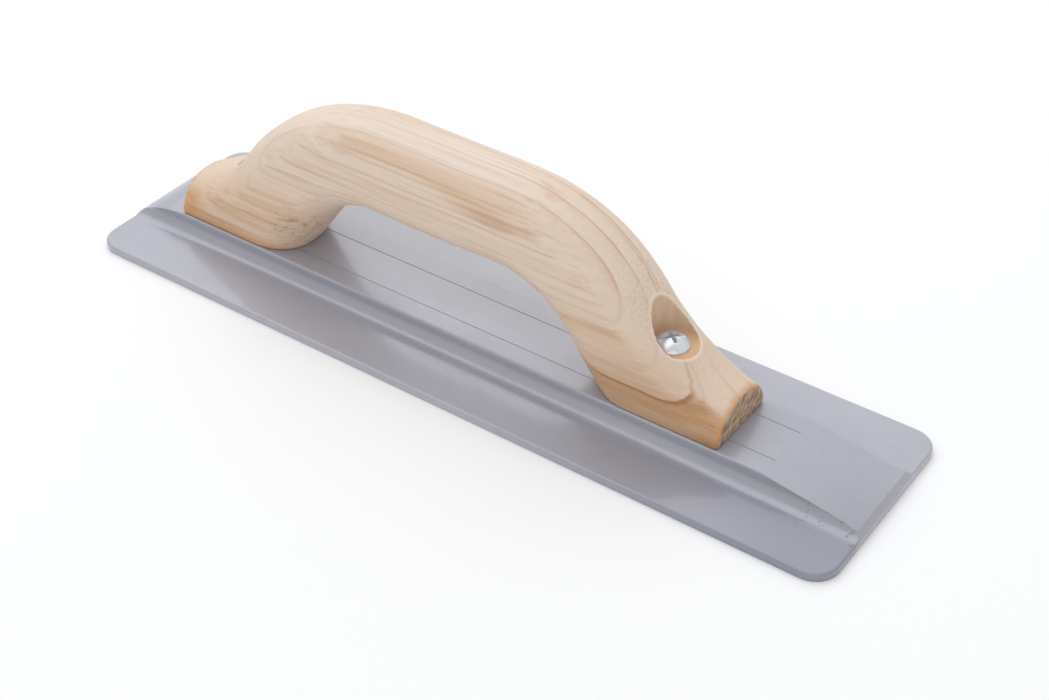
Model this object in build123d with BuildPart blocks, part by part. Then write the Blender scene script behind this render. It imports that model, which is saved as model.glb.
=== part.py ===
from build123d import *
import os

# Hand float: a ribbed cast plate with a bridge-shaped wooden handle held by two machine screws.
# Origin: centre of the sole. +X runs along the plate to the handle's long-overhang end, which is
# called the front; +Z points up from the sole. Millimetres.

# Float plate, 12 in by 3-1/8 in
plate_length = 304.8
plate_width = 79.375
plate_edge_thickness = 2.9
plate_corner_radius = 9.0
plate_edge_round = 0.9

# Raised centre rib
rib_height = 10.0
rib_width = 31.75
rib_root_radius = 4.2
rib_edge_round = 0.8
rib_nose_height = 4.9  # height of the rib where its end bevel begins
rib_nose_inset = 2.0  # distance of that bevel's top from the plate's end
front_ramp_start = 116.6  # the flat top ends here and slopes down to the front nose
rear_ramp_start = -128.0  # the flat top ends here and rolls over to the rear nose

# Two fine lines scored along the rib's top
score_spacing = 16.0
score_width = 0.35
score_depth = 0.15

# Handle, cut from 30 mm stock
handle_width = 30.2
handle_rear = -131.0
handle_front = 100.0
handle_round = 12.7
end_break = 1.0
overrun = 10.0  # the blank is longer than the handle, then trimmed square

crown_rear_end = (handle_rear - overrun, 17.1)
ledge_corner = (-109.9, 33.7)
shoulder_rear = (-75.7, 74.4)
shoulder_front = (46.3, 72.9)
toe_corner = (80.9, 28.7)
crown_front_end = (handle_front + overrun, 19.4)
front_leg_inner_top = (26.6, 41.1)
front_leg_inner_foot = (56.2, 0)
finger_swell = (-18.0, 40.0)  # the grip is a little deeper here
rear_leg_inner_top = (-57.0, 41.2)
rear_leg_inner_foot = (-86.4, 0)

ledge_radius = 10.0
shoulder_rear_radius = 79.0
shoulder_front_radius = 68.0
toe_radius = 70.0
front_leg_inner_radius = 33.3
finger_swell_radius = 300.0
rear_leg_inner_radius = 33.0

# Screws, 1/4 in by 1-1/8 in with a round combination-drive head
screw_diameter = 6.35
screw_length = 28.575
screw_head_diameter = 12.0
screw_head_height = 3.6
screw_head_rim = 0.7
screw_slot_width = 1.6
screw_slot_depth = 1.5
screw_cross_span = 6.4
screw_cross_web = 1.5
screw_cross_depth = 2.6
screw_cross_taper = 12.0
screw_tip_chamfer = 0.9
front_screw = (73.2, -1.1)
rear_screw = (-103.2, 0)
front_slot_angle = 54.0
rear_slot_angle = -20.0

# Recesses and holes for the screws; the front recess was bored a little off its hole
front_recess = (74.2, -0.8)
rear_recess = (-103.2, 0)
seat_height = 31.8  # level of the counterbore floor above the sole
counterbore_diameter = 15.875
clearance_diameter = 7.0
tapped_diameter = 6.45
tapped_floor = 2.4  # metal left under a tapped hole

half_length = plate_length / 2
half_handle = handle_width / 2

os.makedirs("parts", exist_ok=True)


# ---- Float plate -------------------------------------------------------------------------------

rib_half = rib_width / 2
rib_root_half = rib_half + rib_root_radius
rib_root_top = plate_edge_thickness + rib_root_radius

with BuildPart() as float_plate:
    # cross-section of the rib, with a cove down each side to the thin flange
    with BuildSketch(Plane.YZ.offset(-half_length)):
        with BuildLine():
            right_cove = RadiusArc(
                (rib_root_half, plate_edge_thickness), (rib_half, rib_root_top), rib_root_radius
            )
            Polyline(right_cove @ 1, (rib_half, rib_height), (-rib_half, rib_height), (-rib_half, rib_root_top))
            RadiusArc((-rib_half, rib_root_top), (-rib_root_half, plate_edge_thickness), rib_root_radius)
            Polyline(
                (-rib_root_half, plate_edge_thickness),
                (-rib_root_half, 0),
                (rib_root_half, 0),
                (rib_root_half, plate_edge_thickness),
            )
        make_face()
    extrude(amount=plate_length)

    rib_top_edges = float_plate.edges().filter_by(Axis.X).group_by(Axis.Z)[-1]
    fillet(rib_top_edges, radius=rib_edge_round)

    # side view of the rib: rolled over at the rear, a straight ramp at the front, bevelled noses
    rear_nose = (-half_length + rib_nose_inset, rib_nose_height)
    front_nose = (half_length - rib_nose_inset, rib_nose_height)
    nose_foot = rib_nose_height - rib_nose_inset
    with BuildSketch(Plane.XZ):
        with BuildLine():
            roll = TangentArc((rear_ramp_start, rib_height), rear_nose, tangent=(-1, 0))
            Polyline(
                roll @ 1,
                (-half_length, nose_foot),
                (-half_length, 0),
                (half_length, 0),
                (half_length, nose_foot),
                front_nose,
                (front_ramp_start, rib_height),
                (rear_ramp_start, rib_height),
            )
        make_face()
    extrude(amount=plate_width, both=True, mode=Mode.INTERSECT)

    # thin flange all round
    with BuildSketch():
        RectangleRounded(plate_length, plate_width, plate_corner_radius)
    extrude(amount=plate_edge_thickness)

    rim_edges = (
        float_plate.edges()
        .filter_by_position(Axis.Z, plate_edge_thickness - 0.01, plate_edge_thickness + 0.01)
        .filter_by(lambda e: abs(e.center().Y) > rib_root_half + 1)
        .filter_by(lambda e: abs(e.center().X) < 1 or abs(e.center().X) > half_length - plate_corner_radius)
    )
    fillet(rim_edges, radius=plate_edge_round)

    # scored lines
    with BuildSketch(Plane.YZ.offset(-half_length)):
        with Locations((-score_spacing / 2, rib_height), (score_spacing / 2, rib_height)):
            Rectangle(score_width, 2 * score_depth)
    extrude(amount=plate_length, mode=Mode.SUBTRACT)

    # blind tapped holes under the handle's feet
    with Locations((*front_screw, rib_height), (*rear_screw, rib_height)):
        Hole(tapped_diameter / 2, depth=rib_height - tapped_floor)

float_plate.part.label = "float_plate"
export_step(float_plate.part, "parts/float_plate.step")


# ---- Handle ------------------------------------------------------------------------------------

with BuildPart() as handle:
    with BuildSketch(Plane.XZ):
        with BuildLine():
            FilletPolyline(
                crown_rear_end,
                ledge_corner,
                shoulder_rear,
                shoulder_front,
                toe_corner,
                crown_front_end,
                (crown_front_end[0], 0),
                front_leg_inner_foot,
                front_leg_inner_top,
                finger_swell,
                rear_leg_inner_top,
                rear_leg_inner_foot,
                (crown_rear_end[0], 0),
                radius=[
                    0,
                    ledge_radius,
                    shoulder_rear_radius,
                    shoulder_front_radius,
                    toe_radius,
                    0,
                    0,
                    0,
                    front_leg_inner_radius,
                    finger_swell_radius,
                    rear_leg_inner_radius,
                    0,
                    0,
                ],
                close=True,
            )
        make_face()
    extrude(amount=half_handle, both=True)

    # the router's round runs along the crown and round the finger opening, on both sides
    crown_and_opening = (
        handle.edges()
        .filter_by(Axis.Y, reverse=True)
        .filter_by(Axis.Z, reverse=True)
        .filter_by_position(Axis.Z, 1, shoulder_rear[1] + 1)
    )
    fillet(crown_and_opening, radius=handle_round)

    # trimmed flat on the plate and square at both ends
    split(bisect_by=Plane.XY.offset(rib_height), keep=Keep.TOP)
    split(bisect_by=Plane.YZ.offset(handle_rear), keep=Keep.TOP)
    split(bisect_by=Plane.YZ.offset(handle_front), keep=Keep.BOTTOM)
    for end in (handle.faces().sort_by(Axis.X)[0], handle.faces().sort_by(Axis.X)[-1]):
        fillet(end.edges().filter_by(lambda e: e.center().Z > rib_height + 1), radius=end_break)

    # flat-bottomed screw recesses, and a clearance hole down through each foot
    with Locations((*front_recess, shoulder_rear[1]), (*rear_recess, shoulder_rear[1])):
        Hole(counterbore_diameter / 2, depth=shoulder_rear[1] - seat_height)
    with Locations((*front_screw, seat_height), (*rear_screw, seat_height)):
        Hole(clearance_diameter / 2, depth=seat_height)

handle.part.label = "handle"
export_step(handle.part, "parts/handle.step")


# ---- Screws ------------------------------------------------------------------------------------


def combination_screw(x, y, slot_angle):
    """A round-head machine screw seated at (x, y), with a slot across a cross recess."""
    head_radius = screw_head_diameter / 2
    shank_radius = screw_diameter / 2
    tip = seat_height - screw_length
    head_top = seat_height + screw_head_height
    with BuildPart() as screw:
        with BuildSketch(Plane(origin=(x, y, 0), x_dir=(1, 0, 0), z_dir=(0, -1, 0))):
            with BuildLine():
                Polyline(
                    (0, head_top),
                    (0, tip),
                    (shank_radius - screw_tip_chamfer, tip),
                    (shank_radius, tip + screw_tip_chamfer),
                    (shank_radius, seat_height),
                    (head_radius, seat_height),
                    (head_radius, seat_height + screw_head_rim),
                )
                TangentArc((0, head_top), (head_radius, seat_height + screw_head_rim), tangent=(1, 0))
            make_face()
        revolve(axis=Axis((x, y, 0), (0, 0, 1)))

        drive = Plane(origin=(x, y, head_top)).rotated((0, 0, slot_angle))
        with BuildSketch(drive):
            Rectangle(screw_head_diameter, screw_slot_width)
        extrude(amount=-screw_slot_depth, mode=Mode.SUBTRACT)
        with BuildSketch(drive):
            Rectangle(screw_cross_span, screw_cross_web)
            Rectangle(screw_cross_web, screw_cross_span)
        extrude(amount=-screw_cross_depth, taper=screw_cross_taper, mode=Mode.SUBTRACT)
    return screw.part


for name, place, slot_angle in (
    ("front_screw", front_screw, front_slot_angle),
    ("rear_screw", rear_screw, rear_slot_angle),
):
    fitted = combination_screw(*place, slot_angle)
    fitted.label = name
    export_step(fitted, f"parts/{name}.step")
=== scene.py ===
import math
import bpy
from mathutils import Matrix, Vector, noise


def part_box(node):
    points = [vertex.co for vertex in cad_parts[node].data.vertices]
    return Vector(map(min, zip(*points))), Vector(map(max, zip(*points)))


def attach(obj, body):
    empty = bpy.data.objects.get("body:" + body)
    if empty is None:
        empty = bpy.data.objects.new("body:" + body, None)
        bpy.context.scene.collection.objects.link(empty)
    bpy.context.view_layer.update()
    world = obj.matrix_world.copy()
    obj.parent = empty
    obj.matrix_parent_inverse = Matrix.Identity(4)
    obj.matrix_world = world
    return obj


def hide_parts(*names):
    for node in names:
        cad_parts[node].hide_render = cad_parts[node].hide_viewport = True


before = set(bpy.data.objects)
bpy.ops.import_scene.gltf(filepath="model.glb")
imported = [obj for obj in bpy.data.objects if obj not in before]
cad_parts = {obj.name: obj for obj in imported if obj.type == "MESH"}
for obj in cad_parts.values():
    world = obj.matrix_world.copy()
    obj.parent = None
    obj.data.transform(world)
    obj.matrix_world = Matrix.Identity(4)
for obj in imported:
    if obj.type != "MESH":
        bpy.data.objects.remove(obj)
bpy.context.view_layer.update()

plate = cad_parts["float_plate"]
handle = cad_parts["handle"]
rib_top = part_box("float_plate")[1][2]
(handle_rear, handle_near, _), (handle_front, _, _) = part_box("handle")


def screw_centre(name):
    low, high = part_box(name)
    return (low[0] + high[0]) / 2, (low[1] + high[1]) / 2


# The recesses are 5/8 in across; the front one is a little off its screw, towards the front end.
recess_radius = 0.00794
front_recess_offset = (0.001, 0.0003)
front_recess = tuple(c + off for c, off in zip(screw_centre("front_screw"), front_recess_offset))
rear_recess = screw_centre("rear_screw")
screw_head_height = 0.0036
recess_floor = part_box("front_screw")[1][2] - screw_head_height

# The tree's heart ran along X, out past the handle's near side and level with the top of the grip.
# Its place is in Y and Z, and so is the direction of the rings where they meet the front end's face.
heart = (-0.069, 0.070)
along_rings = (0.59, 0.81)
first_ring = 0.0545  # a ring's distance from the heart
ring_spacing = 0.0067
strong_ring = 2.69  # the heartwood's edge, in ring spacings beyond the first ring

# Torn grain on the near side of the rear foot, where the cutter left the wood
tear_out = Vector((-0.0765, -0.0115, 0.0235))
tear_out_reach = 0.015

# Heights of the wood's relief
sanding_wave = 0.00016
raised_grain = 0.00004
tear_depth = 0.0006
front_saw_marks = 0.00035
rear_saw_marks = 0.00008

# Soft edges between one look and the next, each from where it starts to where it ends
near_cove = (-0.022, -0.018)  # in Y, from the plate's flange to its rib
ramp_edge = (0.1162, 0.1170)  # in X, where the plate's front ramp begins
flat_side = (handle_near + 0.0026, handle_near + 0.0056)  # in Y, from the handle's side to its round
rear_foot_end = (handle_rear + 0.039, handle_rear + 0.055)  # in X


# ---- Node helpers ------------------------------------------------------------------------------


class Shader:
    """A material's node tree, with short ways to add and join nodes."""

    def __init__(self, name):
        self.material = bpy.data.materials.new(name)
        self.material.use_nodes = True
        self.tree = self.material.node_tree
        self.surface = self.tree.nodes["Principled BSDF"]
        where = self.node("ShaderNodeTexCoord")
        self.place = where.outputs["Object"]
        self.facing = where.outputs["Normal"]

    def node(self, kind, **settings):
        made = self.tree.nodes.new(kind)
        for key, value in settings.items():
            setattr(made, key, value)
        return made

    def feed(self, socket, value):
        if isinstance(value, bpy.types.NodeSocket):
            self.tree.links.new(value, socket)
        else:
            socket.default_value = value

    def set(self, **values):
        for key, value in values.items():
            self.feed(self.surface.inputs[key.replace("_", " ")], value)

    def math(self, operation, a, b=0.0, clamp=False):
        made = self.node("ShaderNodeMath", operation=operation, use_clamp=clamp)
        self.feed(made.inputs[0], a)
        self.feed(made.inputs[1], b)
        return made.outputs[0]

    def add(self, *terms):
        total = terms[0]
        for term in terms[1:]:
            total = self.math("ADD", total, term)
        return total

    def times(self, *factors):
        product = factors[0]
        for factor in factors[1:]:
            product = self.math("MULTIPLY", product, factor)
        return product

    def either(self, a, b):
        return self.math("MAXIMUM", a, b)

    def xyz(self, vector):
        made = self.node("ShaderNodeSeparateXYZ")
        self.feed(made.inputs[0], vector)
        return made.outputs

    def vector(self, x, y, z):
        made = self.node("ShaderNodeCombineXYZ")
        for socket, value in zip(made.inputs, (x, y, z)):
            self.feed(socket, value)
        return made.outputs[0]

    def distance(self, a, a_centre, b, b_centre):
        """Distance from an axis, given the two coordinates across it."""
        da, db = self.math("SUBTRACT", a, a_centre), self.math("SUBTRACT", b, b_centre)
        return self.math("SQRT", self.add(self.times(da, da), self.times(db, db)))

    def stretch(self, scale, shift=(0, 0, 0)):
        made = self.node("ShaderNodeMapping")
        self.feed(made.inputs["Vector"], self.place)
        made.inputs["Scale"].default_value = scale
        made.inputs["Location"].default_value = shift
        return made.outputs[0]

    def noise(self, vector, scale=1.0, detail=3.0, roughness=0.5):
        made = self.node("ShaderNodeTexNoise")
        self.feed(made.inputs["Vector"], vector)
        made.inputs["Scale"].default_value = scale
        made.inputs["Detail"].default_value = detail
        made.inputs["Roughness"].default_value = roughness
        return made.outputs["Fac"]

    def cells(self, vector, scale):
        made = self.node("ShaderNodeTexVoronoi")
        self.feed(made.inputs["Vector"], vector)
        made.inputs["Scale"].default_value = scale
        return made.outputs["Distance"]

    def fade(self, value, low, high, out_low=0.0, out_high=1.0):
        """A smooth step: out_low where value is under low, out_high where it is over high."""
        made = self.node("ShaderNodeMapRange", interpolation_type="SMOOTHSTEP")
        self.feed(made.inputs["Value"], value)
        made.inputs["From Min"].default_value = low
        made.inputs["From Max"].default_value = high
        made.inputs["To Min"].default_value = out_low
        made.inputs["To Max"].default_value = out_high
        return made.outputs[0]

    def below(self, value, low, high, amount=1.0):
        return self.fade(value, low, high, amount, 0.0)

    def between(self, value, rise, fall):
        """1 between two soft edges, each a pair of values."""
        return self.times(self.fade(value, *rise), self.below(value, *fall))

    def centred(self, value):
        """A 0 to 1 pattern moved to lie evenly round 0."""
        return self.math("SUBTRACT", value, 0.5)

    def ramp(self, value, *stops):
        made = self.node("ShaderNodeValToRGB")
        self.feed(made.inputs[0], value)
        marks = made.color_ramp.elements
        while len(marks) < len(stops):
            marks.new(0.5)
        for mark, (position, colour) in zip(marks, stops):
            mark.position = position
            mark.color = (*colour, 1.0)
        return made.outputs[0]

    def mix(self, factor, a, b):
        made = self.node("ShaderNodeMix", data_type="RGBA")
        self.feed(made.inputs[0], factor)
        for socket, value in ((made.inputs[6], a), (made.inputs[7], b)):
            self.feed(socket, value if isinstance(value, bpy.types.NodeSocket) else (*value, 1.0))
        return made.outputs[2]

    def bump(self, height, distance, strength=1.0):
        made = self.node("ShaderNodeBump")
        self.feed(made.inputs["Height"], height)
        made.inputs["Distance"].default_value = distance
        made.inputs["Strength"].default_value = strength
        return made.outputs[0]


def srgb(red, green, blue):
    """Scene-linear colour of a display colour given in 0 to 255."""

    def linear(value):
        value /= 255
        return value / 12.92 if value <= 0.04045 else ((value + 0.055) / 1.055) ** 2.4

    return tuple(linear(value) for value in (red, green, blue))


def give(piece, material):
    piece.data.materials.clear()
    piece.data.materials.append(material)


# ---- Lacquered magnesium -----------------------------------------------------------------------


def painted_shade_by_place(s, colour, x, y, z):
    """Painted shade: the metal is darkened along the near flange towards the front corner, on the rib beside
    the front foot and, with a painted reflection of the wood, under the grip; it is also darker over the
    rib's front nose.
    """
    # painted shade on the near flange, darkest towards the front corner
    near_flange_painted_shade = s.times(s.fade(x, 0.0, 0.14), s.below(y, *near_cove))
    near_nose = s.times(s.fade(x, 0.115, 0.150), s.between(y, near_cove, (-0.018, 0.020)))
    on_rib = s.fade(z, rib_top - 0.0012, rib_top - 0.0004)
    # painted shade on the rib's top beside the front foot, softening the shading edge where the ramp begins
    by_foot_painted_shade = s.times(s.between(x, (0.085, 0.112), ramp_edge), on_rib)
    # painted shade, with a warm painted reflection of the wood, on the far side of the rib under the grip
    behind_grip_painted_shade_and_reflection = s.times(s.between(x, (-0.118, -0.085), (0.0, 0.060)), s.fade(y, -0.006, 0.012))
    for place, amount, tint in (
        (near_flange_painted_shade, 0.9, srgb(136, 137, 151)),
        (near_nose, 0.35, srgb(138, 139, 152)),
        (by_foot_painted_shade, 0.34, srgb(146, 146, 157)),
        (behind_grip_painted_shade_and_reflection, 0.5, srgb(150, 147, 149)),
    ):
        colour = s.mix(s.times(place, amount), colour, tint)
    return colour


def casting_pits(s, x, y):
    """A few scattered pinholes, and a patch of small pits in the near cove at the front end."""
    scattered = s.fade(s.noise(s.stretch((1, 1, 1), (3.1, 0.4, 0)), 30.0, detail=1), 0.60, 0.64)
    pinholes = s.times(s.below(s.cells(s.place, 95.0), 0.012, 0.03), scattered)
    clustered = s.fade(s.noise(s.place, 260.0, detail=1), 0.5, 0.6)
    front_cove = s.times(s.fade(x, 0.126, 0.140), s.between(y, (-0.0240, -0.0220), (-0.0165, -0.0150)))
    cove_pits = s.times(s.below(s.cells(s.place, 1000.0), 0.25, 0.5), clustered, front_cove)
    return s.either(pinholes, s.times(cove_pits, 0.7))


def lacquered_magnesium():
    """Smooth lavender-grey casting under a clear coat, with a few pits and light scuffs."""
    s = Shader("lacquered_magnesium")
    x, y, z = s.xyz(s.place)
    drift = s.noise(s.stretch((1.0, 2.2, 2.2)), 9.0)
    colour = s.ramp(drift, (0.3, srgb(167, 167, 178)), (0.7, srgb(175, 175, 185)))
    mottle = s.noise(s.place, 240.0, detail=4, roughness=0.6)
    colour = s.mix(s.fade(mottle, 0.45, 0.75, 0.0, 0.2), colour, srgb(152, 151, 162))
    # painted shade and a painted reflection, laid into the metal's colour
    colour = painted_shade_by_place(s, colour, x, y, z)
    pits = casting_pits(s, x, y)
    colour = s.mix(s.times(pits, 0.7), colour, srgb(88, 85, 90))

    # light rubs along the plate
    rubs = s.fade(s.noise(s.stretch((26.0, 1500.0, 1500.0)), detail=3, roughness=0.7), 0.66, 0.72)
    colour = s.mix(s.times(rubs, 0.25), colour, srgb(186, 186, 193))

    ripple = s.noise(s.stretch((0.6, 1.0, 1.0)), 55.0, detail=2)
    peel = s.noise(s.place, 700.0, detail=1)
    height = s.add(s.times(ripple, 0.8), s.times(peel, 0.02), s.times(pits, -1.2), s.times(rubs, -0.02))
    smear = s.noise(s.stretch((1.0, 3.0, 3.0)), 24.0, detail=4)
    s.set(
        Base_Color=colour,
        Metallic=0.15,
        Roughness=s.add(s.fade(smear, 0.3, 0.7, 0.30, 0.42), s.times(rubs, 0.1)),
        Normal=s.bump(height, 0.0002, 0.5),
        Coat_Weight=0.72,
        Coat_Roughness=0.11,
        Coat_IOR=1.5,
    )
    return s.material


# ---- Unvarnished pine --------------------------------------------------------------------------


class Pine(Shader):
    """Pine's rings and fibres, and the layers of colour laid over them, each by one method."""

    def __init__(self, name):
        super().__init__(name)
        self.x, self.y, self.z = self.xyz(self.place)
        self.facing_x, _, self.facing_up = self.xyz(self.facing)
        slope = self.math("ABSOLUTE", self.facing_x)
        self.end_grain = self.fade(slope, 0.25, 0.85)
        self.side_grain = self.fade(slope, 0.08, 0.44, 1.0, 0.10)
        self.near_side = self.below(self.y, *flat_side)
        self.rear_foot = self.below(self.x, *rear_foot_end)
        self.streak = self.noise(self.stretch((8.0, 260.0, 260.0), (0, 2.0, 0)), detail=4, roughness=0.65)
        self.fibre = self.noise(self.stretch((12.0, 700.0, 700.0)), detail=4, roughness=0.65)
        self.blotch = self.noise(self.stretch((6.0, 110.0, 110.0), (3.0, 0, 0)), detail=2)

        # rings round the heart: each darkens outwards to a hard line, where the next begins pale
        sway = self.centred(self.noise(self.stretch((7.0, 16.0, 16.0)), detail=2))
        wander = self.centred(self.noise(self.stretch((22.0, 90.0, 90.0)), detail=3))
        radius = self.distance(self.y, heart[0], self.z, heart[1])
        tapered = self.times(self.x, -0.010)
        self.radius = self.add(radius, self.times(sway, 0.0036), self.times(wander, 0.0012), tapered)
        self.ring = self.times(self.math("SUBTRACT", self.radius, first_ring), 1 / ring_spacing)
        self.growth = self.math("FRACT", self.ring)
        patchy = self.noise(self.stretch((9.0, 40.0, 40.0), (0.7, 0, 0)), detail=2)
        fading_rearwards = self.fade(self.x, -0.090, -0.045, 0.45, 1.0)
        self.ring_strength = self.times(self.fade(patchy, 0.36, 0.66, 0.25, 1.0), fading_rearwards)
        self.unbroken = self.fade(slope, 0.15, 0.6, 0.0, 0.8)

        ragged = self.centred(self.noise(self.stretch((160.0, 260.0, 260.0)), detail=3))
        ragged = self.times(ragged, 0.006)
        self.from_rear = self.add(self.math("SUBTRACT", self.x, handle_rear), ragged)
        self.from_front = self.add(self.math("SUBTRACT", handle_front, self.x), self.times(ragged, 0.35))
        self.from_base = self.add(self.math("SUBTRACT", self.z, rib_top), self.times(ragged, 0.5))

    def ringed(self):
        """Bare wood with its growth rings."""
        blush = self.noise(self.stretch((6.0, 20.0, 20.0), (0, 0, 4.0)), detail=2)
        colour = self.ramp(blush, (0.32, srgb(228, 211, 194)), (0.68, srgb(226, 204, 185)))
        ring_edge = self.below(self.growth, 0.93, 1.0)
        broken = self.either(self.fade(self.streak, 0.38, 0.62, 0.35, 1.0), self.unbroken)
        late = self.times(self.math("POWER", self.growth, 3.0), ring_edge, self.ring_strength, broken)
        colour = self.mix(self.times(late, 0.54), colour, srgb(203, 158, 116))
        line = self.times(self.fade(self.growth, 0.84, 0.93), ring_edge, self.ring_strength)
        return self.mix(self.times(line, 0.38), colour, srgb(168, 120, 80))

    def streaked(self, colour):
        """Tan and pale streaks along the grain, where it lies along the surface."""
        for pattern, low, high, out_low, out_high, tint in (
            (self.blotch, 0.48, 0.70, 0.0, 0.50, srgb(212, 172, 134)),
            (self.streak, 0.50, 0.70, 0.0, 0.40, srgb(208, 169, 134)),
            (self.streak, 0.30, 0.48, 0.22, 0.0, srgb(238, 223, 207)),
            (self.fibre, 0.48, 0.68, 0.0, 0.40, srgb(186, 143, 104)),
            (self.fibre, 0.26, 0.46, 0.26, 0.0, srgb(240, 226, 211)),
        ):
            amount = self.times(self.fade(pattern, low, high, out_low, out_high), self.side_grain)
            colour = self.mix(amount, colour, tint)
        return colour

    def flecks(self):
        """Thin dark resin flecks, in patches."""
        fleck = self.noise(self.stretch((26.0, 1100.0, 1100.0), (5.0, 0, 0)), detail=3, roughness=0.6)
        patches = self.fade(self.noise(self.stretch((20.0, 60.0, 60.0)), detail=1), 0.48, 0.6)
        return self.times(self.fade(fleck, 0.62, 0.74), patches, self.side_grain)

    def resinous(self, colour):
        """A resin streak high on the near side of the grip."""
        level = self.add(self.times(self.x, -0.08), 0.0650)
        off_level = self.math("ABSOLUTE", self.math("SUBTRACT", self.z, level))
        resin = self.times(
            self.below(off_level, 0.0007, 0.0028),
            self.between(self.x, (-0.024, 0.014), (0.025, 0.034)),
            self.below(self.y, -0.0135, -0.0105),
            self.fade(self.streak, 0.36, 0.52, 0.45, 1.0),
        )
        return self.mix(self.times(resin, 0.7), colour, srgb(194, 140, 84))

    def toned(self, colour):
        """The crown is painted paler where it faces up, a painted highlight; the toe is browner, and the rear
        foot is warm and streaked.
        """
        # painted highlight: faces that look up are made paler over the grip's crown
        crown = self.fade(self.facing_up, 0.45, 0.98, 0.0, 0.34)
        crown_painted_highlight = self.times(crown, self.below(self.x, -0.02, 0.045))
        colour = self.mix(crown_painted_highlight, colour, srgb(240, 230, 221))
        colour = self.mix(self.fade(self.x, 0.050, 0.085, 0.0, 0.3), colour, srgb(206, 176, 148))
        rear_warmth = self.times(self.below(self.x, -0.078, -0.055, 0.22), self.below(self.z, 0.030, 0.046))
        colour = self.mix(rear_warmth, colour, srgb(218, 174, 128))
        low = self.below(self.z, 0.024, 0.034)
        rear_streaks = self.times(self.rear_foot, low, self.fade(self.streak, 0.44, 0.6), self.side_grain)
        return self.mix(self.times(rear_streaks, 0.55), colour, srgb(206, 158, 112))

    def heartwood(self, colour):
        """Browner wood low in the front foot, beyond one strong ring with a frayed edge."""
        frayed = self.centred(self.noise(self.stretch((70.0, 260.0, 260.0)), detail=3))
        ring = self.add(self.ring, self.times(frayed, 0.22))
        inside = self.fade(ring, strong_ring - 0.05, strong_ring)
        beyond_ring = self.times(self.fade(self.x, 0.040, 0.060), inside)
        brown = self.times(beyond_ring, self.near_side, self.fade(self.streak, 0.35, 0.6, 0.5, 1.0))
        colour = self.mix(brown, colour, srgb(182, 138, 97))
        dark_streaks = self.times(brown, self.fade(self.streak, 0.52, 0.62), 0.5)
        colour = self.mix(dark_streaks, colour, srgb(148, 102, 64))
        toe_tan = self.times(
            self.fade(self.x, 0.036, 0.058),
            self.near_side,
            self.below(self.z, 0.018, 0.036),
            self.fade(self.blotch, 0.3, 0.6),
        )
        colour = self.mix(self.times(toe_tan, 0.6), colour, srgb(200, 158, 118))
        edge = self.times(beyond_ring, self.below(ring, strong_ring + 0.02, strong_ring + 0.11))
        edge = self.times(edge, self.fade(self.near_side, 0.0, 1.0, 0.3, 0.7))
        return self.mix(edge, colour, srgb(156, 108, 68))

    def pores(self):
        """Cut across, the fibres end in fine dark pores."""
        pore = self.fade(self.noise(self.place, 1500.0, detail=2, roughness=0.7), 0.5, 0.75)
        return self.times(pore, self.end_grain)

    def near_tear(self):
        offset = self.node("ShaderNodeVectorMath", operation="DISTANCE")
        self.feed(offset.inputs[0], self.place)
        offset.inputs[1].default_value = tear_out
        return self.below(offset.outputs["Value"], tear_out_reach * 0.35, tear_out_reach)

    def rips(self):
        return self.noise(self.stretch((150.0, 420.0, 620.0), (0, 0, 1.0)), detail=3, roughness=0.6)

    def scorched(self, colour):
        """The sawn ends and the rear foot's lower edge are scorched, and the front corner is darker low down,
        next to the plate.
        """
        at_side = self.fade(self.math("ABSOLUTE", self.y), 0.005, 0.012)
        low_rear = self.times(
            self.below(self.from_rear, 0.004, 0.017, 0.85), self.below(self.z, 0.017, 0.024), at_side
        )
        ends = self.either(
            self.below(self.from_rear, 0.0005, 0.0035, 0.6), self.below(self.from_front, 0.0006, 0.0028, 0.75)
        )
        rear_base = self.times(self.below(self.from_base, 0.0, 0.0065, 0.9), self.rear_foot)
        scorch = self.either(self.either(ends, low_rear), rear_base)
        scorch = self.times(scorch, self.fade(self.fibre, 0.3, 0.6, 0.75, 1.0))
        colour = self.mix(scorch, colour, srgb(208, 150, 94))
        front_corner = self.times(
            self.below(self.from_front, 0.001, 0.014),
            self.below(self.from_base, 0.0005, 0.0055),
            self.near_side,
        )
        return self.mix(self.times(front_corner, 0.55), colour, srgb(158, 104, 62))

    def front_face(self):
        return self.times(self.fade(self.facing_x, 0.8, 0.96), self.below(self.from_front, 0.001, 0.0025))

    def saw_marks(self):
        along = self.add(self.times(self.y, along_rings[0]), self.times(self.z, along_rings[1]))
        place = self.vector(self.times(along, 230.0), self.times(self.radius, 620.0), 0.0)
        return self.noise(place, detail=5, roughness=0.75)

    def bored(self, colour):
        """Recess rims are painted pale, a painted highlight along their eased edges; their walls are left
        dark by the cutter, and their floors toasted.
        """
        from_axis = self.math(
            "MINIMUM",
            self.distance(self.x, front_recess[0], self.y, front_recess[1]),
            self.distance(self.x, rear_recess[0], self.y, rear_recess[1]),
        )
        # painted highlight round the recess rims
        rim_painted_highlight = self.below(from_axis, recess_radius + 0.0004, recess_radius + 0.0014, 0.55)
        colour = self.mix(rim_painted_highlight, colour, srgb(240, 224, 206))
        cutter = self.noise(self.stretch((300.0, 300.0, 60.0)), detail=3)
        wall = self.ramp(cutter, (0.35, srgb(204, 168, 136)), (0.7, srgb(216, 184, 156)))
        wall = self.mix(self.below(self.z, recess_floor, recess_floor + 0.0015), wall, srgb(208, 166, 124))
        inside = self.below(from_axis, recess_radius, recess_radius + 0.0003)
        return self.mix(self.times(inside, 0.85), colour, wall)


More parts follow.
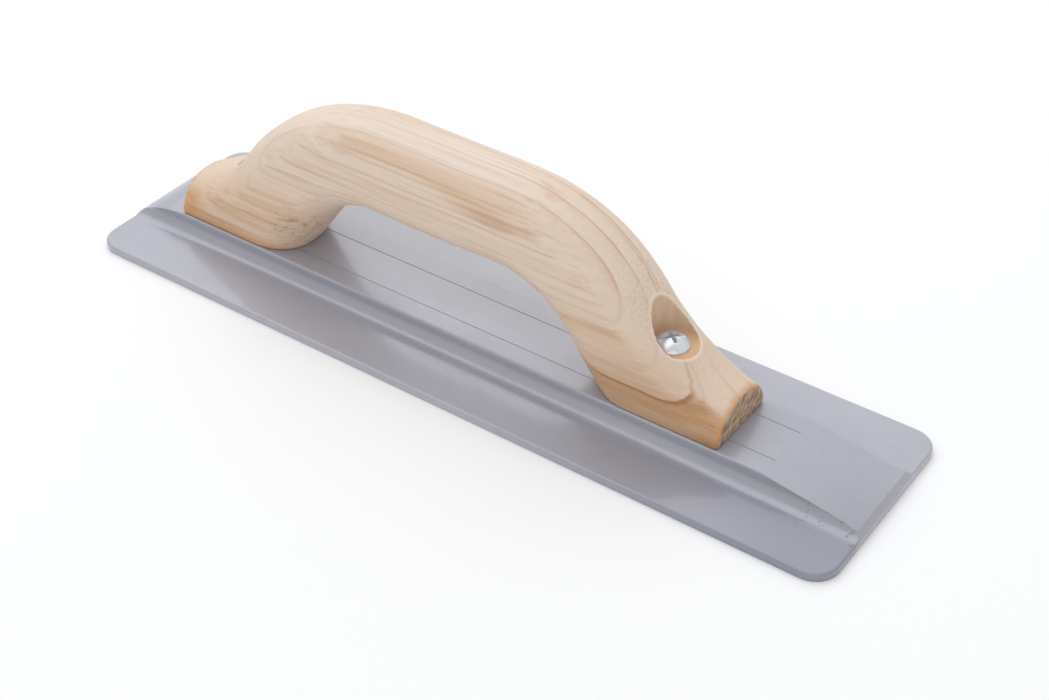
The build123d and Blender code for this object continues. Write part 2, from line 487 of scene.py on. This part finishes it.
def raw_pine():
    """Sanded pine with rings round the tree's heart, scorched saw cuts and bored recesses."""
    s = Pine("raw_pine")
    flecks, pores, near_tear = s.flecks(), s.pores(), s.near_tear()
    torn = s.times(s.fade(s.rips(), 0.55, 0.68), near_tear)
    sawn, saw_marks = s.front_face(), s.saw_marks()

    colour = s.streaked(s.ringed())
    colour = s.mix(s.times(flecks, 0.42), colour, srgb(150, 112, 80))
    colour = s.heartwood(s.toned(s.resinous(colour)))
    colour = s.mix(s.times(pores, 0.55), colour, srgb(158, 122, 92))
    colour = s.mix(s.times(torn, 0.6), colour, srgb(132, 98, 72))
    colour = s.mix(s.times(near_tear, 0.25), colour, srgb(198, 160, 134))
    colour = s.scorched(colour)
    handled = s.ramp(
        saw_marks,
        (0.38, srgb(90, 66, 47)),
        (0.47, srgb(166, 140, 116)),
        (0.66, srgb(214, 196, 178)),
    )
    colour = s.mix(s.times(sawn, 0.9), colour, handled)
    colour = s.bored(colour)

    height = s.add(
        s.times(s.fibre, 0.35),
        s.times(s.growth, 0.05),
        s.times(torn, -1.2),
        s.times(pores, -0.4),
        s.times(saw_marks, sawn, 2.0),
        s.times(flecks, -0.2),
    )
    s.set(
        Base_Color=colour,
        Roughness=s.add(s.fade(s.fibre, 0.3, 0.7, 0.56, 0.68), s.times(sawn, 0.15)),
        Normal=s.bump(height, 0.0002, 0.5),
        Specular_IOR_Level=0.35,
    )
    return s.material


# ---- Bright zinc plate -------------------------------------------------------------------------


def bright_zinc():
    """Bright zinc on a screw, a little clouded and stained."""
    s = Shader("bright_zinc")
    cloud = s.noise(s.place, 260.0)
    colour = s.ramp(cloud, (0.3, srgb(208, 213, 220)), (0.7, srgb(234, 237, 241)))
    stain = s.fade(s.noise(s.place, 520.0, detail=3, roughness=0.65), 0.56, 0.72)
    colour = s.mix(s.times(stain, 0.35), colour, srgb(150, 158, 170))
    scratch = s.noise(s.stretch((300.0, 2600.0, 2600.0)))
    height = s.add(s.times(cloud, 0.6), s.times(scratch, 0.12), s.times(stain, -0.2))
    s.set(
        Base_Color=colour,
        Metallic=0.55,
        Roughness=s.fade(scratch, 0.3, 0.7, 0.18, 0.32),
        Normal=s.bump(height, 0.00008, 0.25),
    )
    return s.material


# ---- Handle with worked surfaces ---------------------------------------------------------------


def remeshed(source, name, voxel, smoothing):
    """A new object: the source's shape in even small faces, its hard edges eased."""
    piece = bpy.data.objects.new(name, source.data.copy())
    bpy.context.scene.collection.objects.link(piece)
    remesh = piece.modifiers.new("even_faces", "REMESH")
    remesh.mode = "VOXEL"
    remesh.voxel_size = voxel
    ease = piece.modifiers.new("ease", "SMOOTH")
    ease.factor = 0.5
    ease.iterations = smoothing
    shaped = piece.evaluated_get(bpy.context.evaluated_depsgraph_get())
    mesh = bpy.data.meshes.new_from_object(shaped)
    mesh.name = name
    piece.modifiers.clear()
    piece.data = mesh
    mesh.shade_smooth()
    return piece


def step(value, low, high):
    """0 where value is under low, 1 where it is over high, smooth between."""
    t = min(max((value - low) / (high - low), 0.0), 1.0)
    return t * t * (3 - 2 * t)


def wood_relief(point, normal):
    """How far the worked surface stands proud of the drawn one, in metres."""
    sanding = sanding_wave * noise.noise(point * 42)
    grain = raised_grain * noise.noise(point * Vector((30, 380, 380)))

    near_tear = 1 - step((point - tear_out).length, tear_out_reach * 0.3, tear_out_reach)
    rip = noise.fractal(point * Vector((150, 420, 620)), 0.6, 2.0, 3)
    tearing = -tear_depth * near_tear * step(rip, 0.1, 0.7)

    at_front = step(normal.x, 0.7, 0.95) * step(point.x, handle_front - 0.003, handle_front - 0.001)
    at_rear = step(-normal.x, 0.7, 0.95) * step(-point.x, -handle_rear - 0.003, -handle_rear - 0.001)
    from_heart = math.hypot(point.y - heart[0], point.z - heart[1])
    along = point.y * along_rings[0] + point.z * along_rings[1]
    sawn = noise.fractal(Vector((along * 90, from_heart * 500, 0)), 0.7, 2.0, 3)
    sawing = (at_front * front_saw_marks + at_rear * rear_saw_marks) * (sawn - 0.4)
    return sanding + grain + tearing + sawing


def worked_handle():
    """The handle with its relief; the face that stands on the rib stays flat."""
    piece = remeshed(handle, "handle_wood", voxel=0.00065, smoothing=4)
    base_margin = 0.0002
    worked = [
        vertex.co + vertex.normal * wood_relief(vertex.co, vertex.normal)
        if vertex.co.z > rib_top + base_margin
        else vertex.co.copy()
        for vertex in piece.data.vertices
    ]
    for vertex, place in zip(piece.data.vertices, worked):
        vertex.co = place
    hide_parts("handle")
    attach(piece, "root")
    return piece


give(worked_handle(), raw_pine())
give(plate, lacquered_magnesium())
zinc = bright_zinc()
for name in ("front_screw", "rear_screw"):
    give(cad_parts[name], zinc)


# ---- Floor, lights and camera ------------------------------------------------------------------


def pale_floor():
    size = 6.0
    mesh = bpy.data.meshes.new("floor")
    corners = [(-size, -size, 0), (size, -size, 0), (size, size, 0), (-size, size, 0)]
    mesh.from_pydata(corners, [], [(0, 1, 2, 3)])
    floor = bpy.data.objects.new("floor", mesh)
    bpy.context.scene.collection.objects.link(floor)
    s = Shader("pale_floor")
    s.set(Base_Color=(0.97, 0.97, 0.97, 1.0), Roughness=0.9)
    mesh.materials.append(s.material)


def softbox(name, place, width, height, watts, colour=(1.0, 1.0, 1.0)):
    """A rectangular soft light that faces the middle of the tool."""
    data = bpy.data.lights.new(name, "AREA")
    data.shape = "RECTANGLE"
    data.size = width
    data.size_y = height
    data.energy = watts
    data.color = colour
    light = bpy.data.objects.new(name, data)
    light.location = place
    light.rotation_euler = (light_aim - Vector(place)).to_track_quat("-Z", "Y").to_euler()
    bpy.context.scene.collection.objects.link(light)


def camera_at(azimuth, elevation, distance, aim, lens):
    """A camera on a sphere round its aim: azimuth 0 looks along +Y, and lengths but the lens are metres."""
    data = bpy.data.cameras.new("camera")
    data.lens = lens
    data.sensor_width = 36.0
    data.sensor_fit = "HORIZONTAL"
    camera = bpy.data.objects.new("camera", data)
    az, el = math.radians(azimuth), math.radians(elevation)
    back = Vector((math.sin(az) * math.cos(el), -math.cos(az) * math.cos(el), math.sin(el)))
    camera.location = Vector(aim) + back * distance
    camera.rotation_euler = back.to_track_quat("Z", "Y").to_euler()
    bpy.context.scene.collection.objects.link(camera)
    bpy.context.scene.camera = camera


def white_surroundings(strength):
    world = bpy.data.worlds.new("studio")
    world.use_nodes = True
    background = world.node_tree.nodes["Background"]
    background.inputs["Color"].default_value = (1.0, 1.0, 1.0, 1.0)
    background.inputs["Strength"].default_value = strength
    bpy.context.scene.world = world


light_aim = Vector((0, 0, 0.03))

pale_floor()
softbox("key", (-0.5, 0.2, 1.3), width=1.7, height=1.7, watts=9.0, colour=(0.93, 0.97, 1.0))
softbox("back", (-0.50, 0.88, 0.62), width=1.3, height=0.8, watts=1.8, colour=(0.95, 0.98, 1.0))
softbox("fill", (0.9, -1.2, 0.9), width=1.2, height=1.2, watts=2.5)
camera_at(azimuth=35.44, elevation=38.51, distance=0.62204, aim=(0.01346, 0.0019, 0.0), lens=61.73)
white_surroundings(strength=0.68)
bpy.context.scene.view_settings.view_transform = "Standard"
